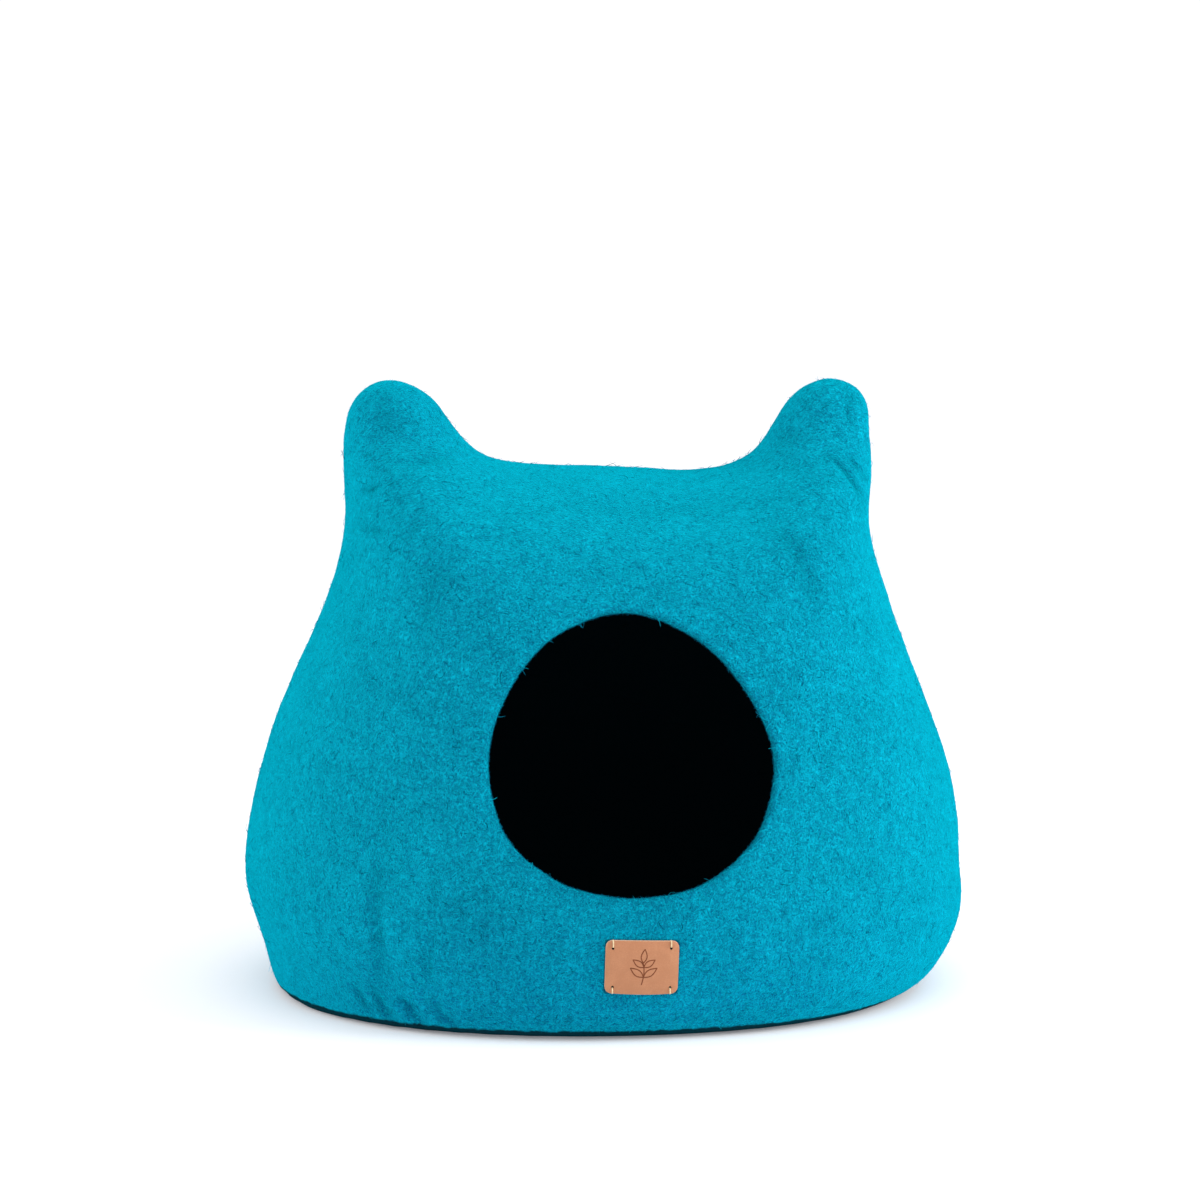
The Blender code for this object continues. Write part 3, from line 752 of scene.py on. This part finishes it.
def stitch_line(face, node):
    """A stitch's middle line: out of its hole, over the leather's edge, down into the felt."""
    x, hole_z, edge_z, radius = stitch_ends(node)
    way = 1 if edge_z > hole_z else -1
    hole, edge = face.front(x, hole_z, face.felt)[0], face.front(x, edge_z, face.felt)[0]
    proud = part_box(node)[0][1] + radius
    hole_z += way * 0.0008  # pulled towards each other by the tight thread
    edge_z -= way * 0.001
    shoulder, top = proud + 0.0009, proud + 0.0001
    return [
        Vector((x, hole.y - 0.0002, hole_z)),
        Vector((x, shoulder, hole_z)),
        Vector((x, top, hole_z + way * 0.0007)),
        Vector((x, top, edge_z - way * 0.0006)),
        Vector((x, shoulder, edge_z)),
        Vector((x, edge.y + 0.0004, edge_z)),
    ]


def smooth_line(corners, steps):
    """A smooth curve through the corners, with steps points from each corner to the next."""
    pull = 0.35
    points = [corners[0] * 2 - corners[1], *corners, corners[-1] * 2 - corners[-2]]
    line = []
    for before, a, b, after in zip(points, points[1:], points[2:], points[3:]):
        tangent_a, tangent_b = (b - before) * pull, (after - a) * pull
        for step in range(steps):
            t = step / steps
            line.append(
                a * (2 * t**3 - 3 * t**2 + 1)
                + tangent_a * (t**3 - 2 * t**2 + t)
                + b * (3 * t**2 - 2 * t**3)
                + tangent_b * (t**3 - t**2)
            )
    return line + [corners[-1]]


def ply_lines(middle, radius, twist):
    """The middle lines of two plies twisted round a thread's middle line."""
    travelled, plies = 0.0, ([], [])
    across, tightness = Vector((1, 0, 0)), 0.8  # below 1 the plies press into each other
    for index, point in enumerate(middle):
        if index:
            travelled += (point - middle[index - 1]).length
        up = heading_at(middle, index).cross(across).normalized()
        turn = 2 * math.pi * travelled / twist
        for ply, phase in zip(plies, (0, math.pi)):
            offset = across * math.cos(turn + phase) + up * math.sin(turn + phase)
            ply.append(point + offset * radius * tightness)
    return plies


# ---------------------------------------------------------------- operators
class CAVE_OT_felt_shell(bpy.types.Operator):
    """Dress the felt shell: a finer, lumpy and creased surface of wool"""

    bl_idname = "cat_cave.felt_shell"
    bl_label = "Felt Shell"

    def execute(self, context):
        felt = context.scene.cat_cave.felt
        bm = bmesh_of("felt_shell")
        mark_inside(bm)
        widest = math.radians(60)
        bmesh.ops.join_triangles(
            bm, faces=bm.faces, angle_face_threshold=widest, angle_shape_threshold=widest
        )
        coarse = mesh_from(bm, "felt_coarse")
        mesh = with_modifiers(coarse, ("SUBSURF", {"levels": 2, "render_levels": 2}))
        refine_creases(mesh)
        lumpy(mesh, felt.lump_size, felt.lump_height)
        shell = new_piece("felt_shell_dressed", mesh, felt_material(felt))
        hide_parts("felt_shell")
        return {"FINISHED"}


class CAVE_OT_loose_fibres(bpy.types.Operator):
    """Lay loose curly fibres in three shades over the felt, and short ones round the entry"""

    bl_idname = "cat_cave.loose_fibres"
    bl_label = "Loose Fibres"

    def execute(self, context):
        felt = context.scene.cat_cave.felt
        shell = bpy.data.objects["felt_shell_dressed"]
        # Each row: shade, colour, number, then a fibre's length and width, the share of fibres
        # that stand off, and whether they grow on the rim.
        whole = (felt.fibre_length, felt.fibre_width, 0.06, False)
        rim = (felt.fibre_length * 0.33, felt.fibre_width * 0.7, 0.6, True)
        rows = (
            ("bright", felt.bright_wool, felt.fibre_count, *whole),
            ("plain", felt.wool, felt.fibre_count * 3 // 4, *whole),
            ("deep", felt.deep_wool_and_crease_shade, felt.fibre_count // 8, *whole),
            ("rim", felt.wool, felt.rim_count, *rim),
        )
        for seed, (shade, colour, count, length, width, stray_share, on_rim) in enumerate(rows):
            rng = np.random.default_rng(FIRST_SEED + seed)
            places, normals = fibre_roots(shell, count, rng, on_rim)
            name = f"fibres_{shade}"
            mesh = fibre_mesh(name, places, normals, length, width, stray_share, rng)
            new_piece(name, mesh, fibre_material(f"{name}_wool", tuple(colour)))
        return {"FINISHED"}


class CAVE_OT_leather_patch(bpy.types.Operator):
    """Dress the leather patch: rounded cut edges and leather grain"""

    bl_idname = "cat_cave.leather_patch"
    bl_label = "Leather Patch"

    def execute(self, context):
        leather = context.scene.cat_cave.leather
        flat, sharp, shading = (math.radians(angle) for angle in (0.2, 40, 55))
        bm = bmesh_of("leather_patch")
        bmesh.ops.dissolve_limit(bm, angle_limit=flat, verts=bm.verts, edges=bm.edges)
        bmesh.ops.triangulate(bm, faces=[face for face in bm.faces if len(face.verts) > 4])
        bevel = {"width": leather.bevel, "segments": 2}
        limit = {"limit_method": "ANGLE", "angle_limit": sharp}
        mesh = with_modifiers(mesh_from(bm, "leather_plain"), ("BEVEL", {**bevel, **limit}))
        normals, points = array_of(mesh.vertices, "normal"), array_of(mesh.vertices, "co")
        front_share, turn_share = 0.95, 0.25  # of a normal: where an edge begins and how fast
        sideways = np.clip((front_share + normals[:, 1]) / turn_share, 0, 1)
        in_hole = np.zeros(len(points))
        for x, z in hole_places():
            off_middle = np.hypot(points[:, 0] - x, points[:, 2] - z)
            in_hole = np.maximum(in_hole, off_middle < BURNT_REACH)
        set_attribute(mesh, "edge", sideways)
        set_attribute(mesh, "burnt_and_hole_shade", sideways * in_hole)
        mesh.set_sharp_from_angle(angle=shading)
        patch = new_piece("leather_patch_dressed", mesh, leather_material(leather))
        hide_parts("leather_patch")
        return {"FINISHED"}


class CAVE_OT_patch_lines(bpy.types.Operator):
    """Engrave a plain leaf sprig on the patch, and lay dark discs of painted shade behind its
    holes
    """

    bl_idname = "cat_cave.patch_lines"
    bl_label = "Patch Lines"

    def execute(self, context):
        leather = context.scene.cat_cave.leather
        face = LeatherFace()
        bm = bmesh.new()
        radius = leather.line_width / 2
        stand_off = -0.5 * radius  # three quarters of each line lie in the leather
        for line in sprig_lines():
            points = [face.at(u, v, stand_off) for u, v in spaced(line, step=0.5)]
            tube(bm, points, radius, sides=6)
        lines = mesh_from(bm, "patch_lines")
        new_piece("patch_lines", lines, line_material(leather))

        # Painted shade: a dark disc just off the felt behind each hole
        bm = bmesh.new()
        hole_radius, off_felt = 0.00083, Vector((0, 0.0005, 0))
        for x, z in hole_places():
            back = face.front(x, z, face.felt)[0] - off_felt
            turned = Matrix.Translation(back) @ Matrix.Rotation(math.pi / 2, 4, "X")
            bmesh.ops.create_circle(
                bm, cap_ends=True, segments=16, radius=hole_radius, matrix=turned
            )
        backs = mesh_from(bm, "hole_shade_discs")
        new_piece("hole_shade_discs", backs, hole_shade_material(leather))
        return {"FINISHED"}


class CAVE_OT_stitches(bpy.types.Operator):
    """Replace each stitch by a thread of two twisted plies"""

    bl_idname = "cat_cave.stitches"
    bl_label = "Stitches"

    def execute(self, context):
        thread = context.scene.cat_cave.thread
        material = thread_material(thread)
        face = LeatherFace()
        for node in STITCH_NODES:
            middle = smooth_line(stitch_line(face, node), steps=14)
            bm = bmesh.new()
            for ply in ply_lines(middle, thread.ply_radius, thread.twist):
                tube(bm, ply, thread.ply_radius, sides=8)
            piece = new_piece(f"{node}_dressed", mesh_from(bm, node), material)
            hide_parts(node)
        return {"FINISHED"}


class CAVE_OT_stage(bpy.types.Operator):
    """Set up the floor, the soft studio light and the camera"""

    bl_idname = "cat_cave.stage"
    bl_label = "Stage"

    def execute(self, context):
        scene, stage = context.scene, context.scene.cat_cave.stage
        self.lay_floor(scene, stage)
        self.hang_lights(scene, stage)
        self.place_camera(scene, stage)
        scene.view_settings.view_transform = "Standard"
        return {"FINISHED"}

    def lay_floor(self, scene, stage):
        below_felt = -0.0005
        bm = bmesh.new()
        bmesh.ops.create_grid(bm, x_segments=8, y_segments=8, size=40)
        floor = bpy.data.objects.new("floor", mesh_from(bm, "floor"))
        scene.collection.objects.link(floor)
        floor.location.z = below_felt
        floor.data.materials.append(floor_material(stage))

    def hang_lights(self, scene, stage):
        world = bpy.data.worlds.new("studio")
        world.use_nodes = True
        background = world.node_tree.nodes["Background"].inputs
        background["Color"].default_value = (1, 1, 1, 1)
        background["Strength"].default_value = stage.surroundings
        scene.world = world
        aim = Vector((0, 0, 0.2))
        # Each row: name, place, size in metres and power in watts.
        lights = (
            ("key_right", (2.6, -0.7, 1.3), 1.5, 58),
            ("left_rim", (-2.4, 0.6, 0.9), 1.2, 18),
            ("overhead", (0.5, -1.2, 2.2), 2.2, 6),
        )
        for name, place, size, power in lights:
            lamp = bpy.data.lights.new(name, "AREA")
            lamp.size, lamp.energy = size, power
            light = bpy.data.objects.new(name, lamp)
            light.location = place
            light.rotation_euler = (aim - light.location).to_track_quat("-Z", "Y").to_euler()
            scene.collection.objects.link(light)

    def place_camera(self, scene, stage):
        camera = bpy.data.objects.new("camera", bpy.data.cameras.new("camera"))
        camera.data.sensor_width = 36
        camera.data.lens = 103.0
        camera.data.shift_x = -3 / 1200  # three of the photo's 1200 pixels
        across, along = math.sin(stage.azimuth), math.cos(stage.azimuth)
        camera.location = (stage.distance * across, -stage.distance * along, stage.height)
        camera.rotation_euler = (math.pi / 2 - stage.pitch, 0, stage.azimuth)
        scene.collection.objects.link(camera)
        scene.camera = camera


class CAVE_PT_sidebar(bpy.types.Panel):
    """Lists the steps that build the cave"""

    bl_idname = "CAVE_PT_sidebar"
    bl_label = "Felt Cat Cave"
    bl_space_type = "VIEW_3D"
    bl_region_type = "UI"
    bl_category = "Cat Cave"

    def draw(self, context):
        settings = context.scene.cat_cave
        for title, group in (
            ("Felt", settings.felt),
            ("Leather", settings.leather),
            ("Thread", settings.thread),
            ("Stage", settings.stage),
        ):
            box = self.layout.box()
            box.label(text=title)
            for name in group.__annotations__:
                box.prop(group, name)
        for operator in OPERATORS:
            self.layout.operator(operator.bl_idname)


OPERATORS = (
    CAVE_OT_felt_shell,
    CAVE_OT_loose_fibres,
    CAVE_OT_leather_patch,
    CAVE_OT_patch_lines,
    CAVE_OT_stitches,
    CAVE_OT_stage,
)
CLASSES = (
    FeltSettings,
    LeatherSettings,
    ThreadSettings,
    StageSettings,
    CaveSettings,
    *OPERATORS,
    CAVE_PT_sidebar,
)


def register():
    for cls in CLASSES:
        bpy.utils.register_class(cls)
    bpy.types.Scene.cat_cave = PointerProperty(type=CaveSettings)


def unregister():
    del bpy.types.Scene.cat_cave
    for cls in reversed(CLASSES):
        bpy.utils.unregister_class(cls)


def main():
    register()
    bpy.ops.cat_cave.felt_shell()
    bpy.ops.cat_cave.loose_fibres()
    bpy.ops.cat_cave.leather_patch()
    bpy.ops.cat_cave.patch_lines()
    bpy.ops.cat_cave.stitches()
    bpy.ops.cat_cave.stage()


if __name__ == "__main__":
    main()
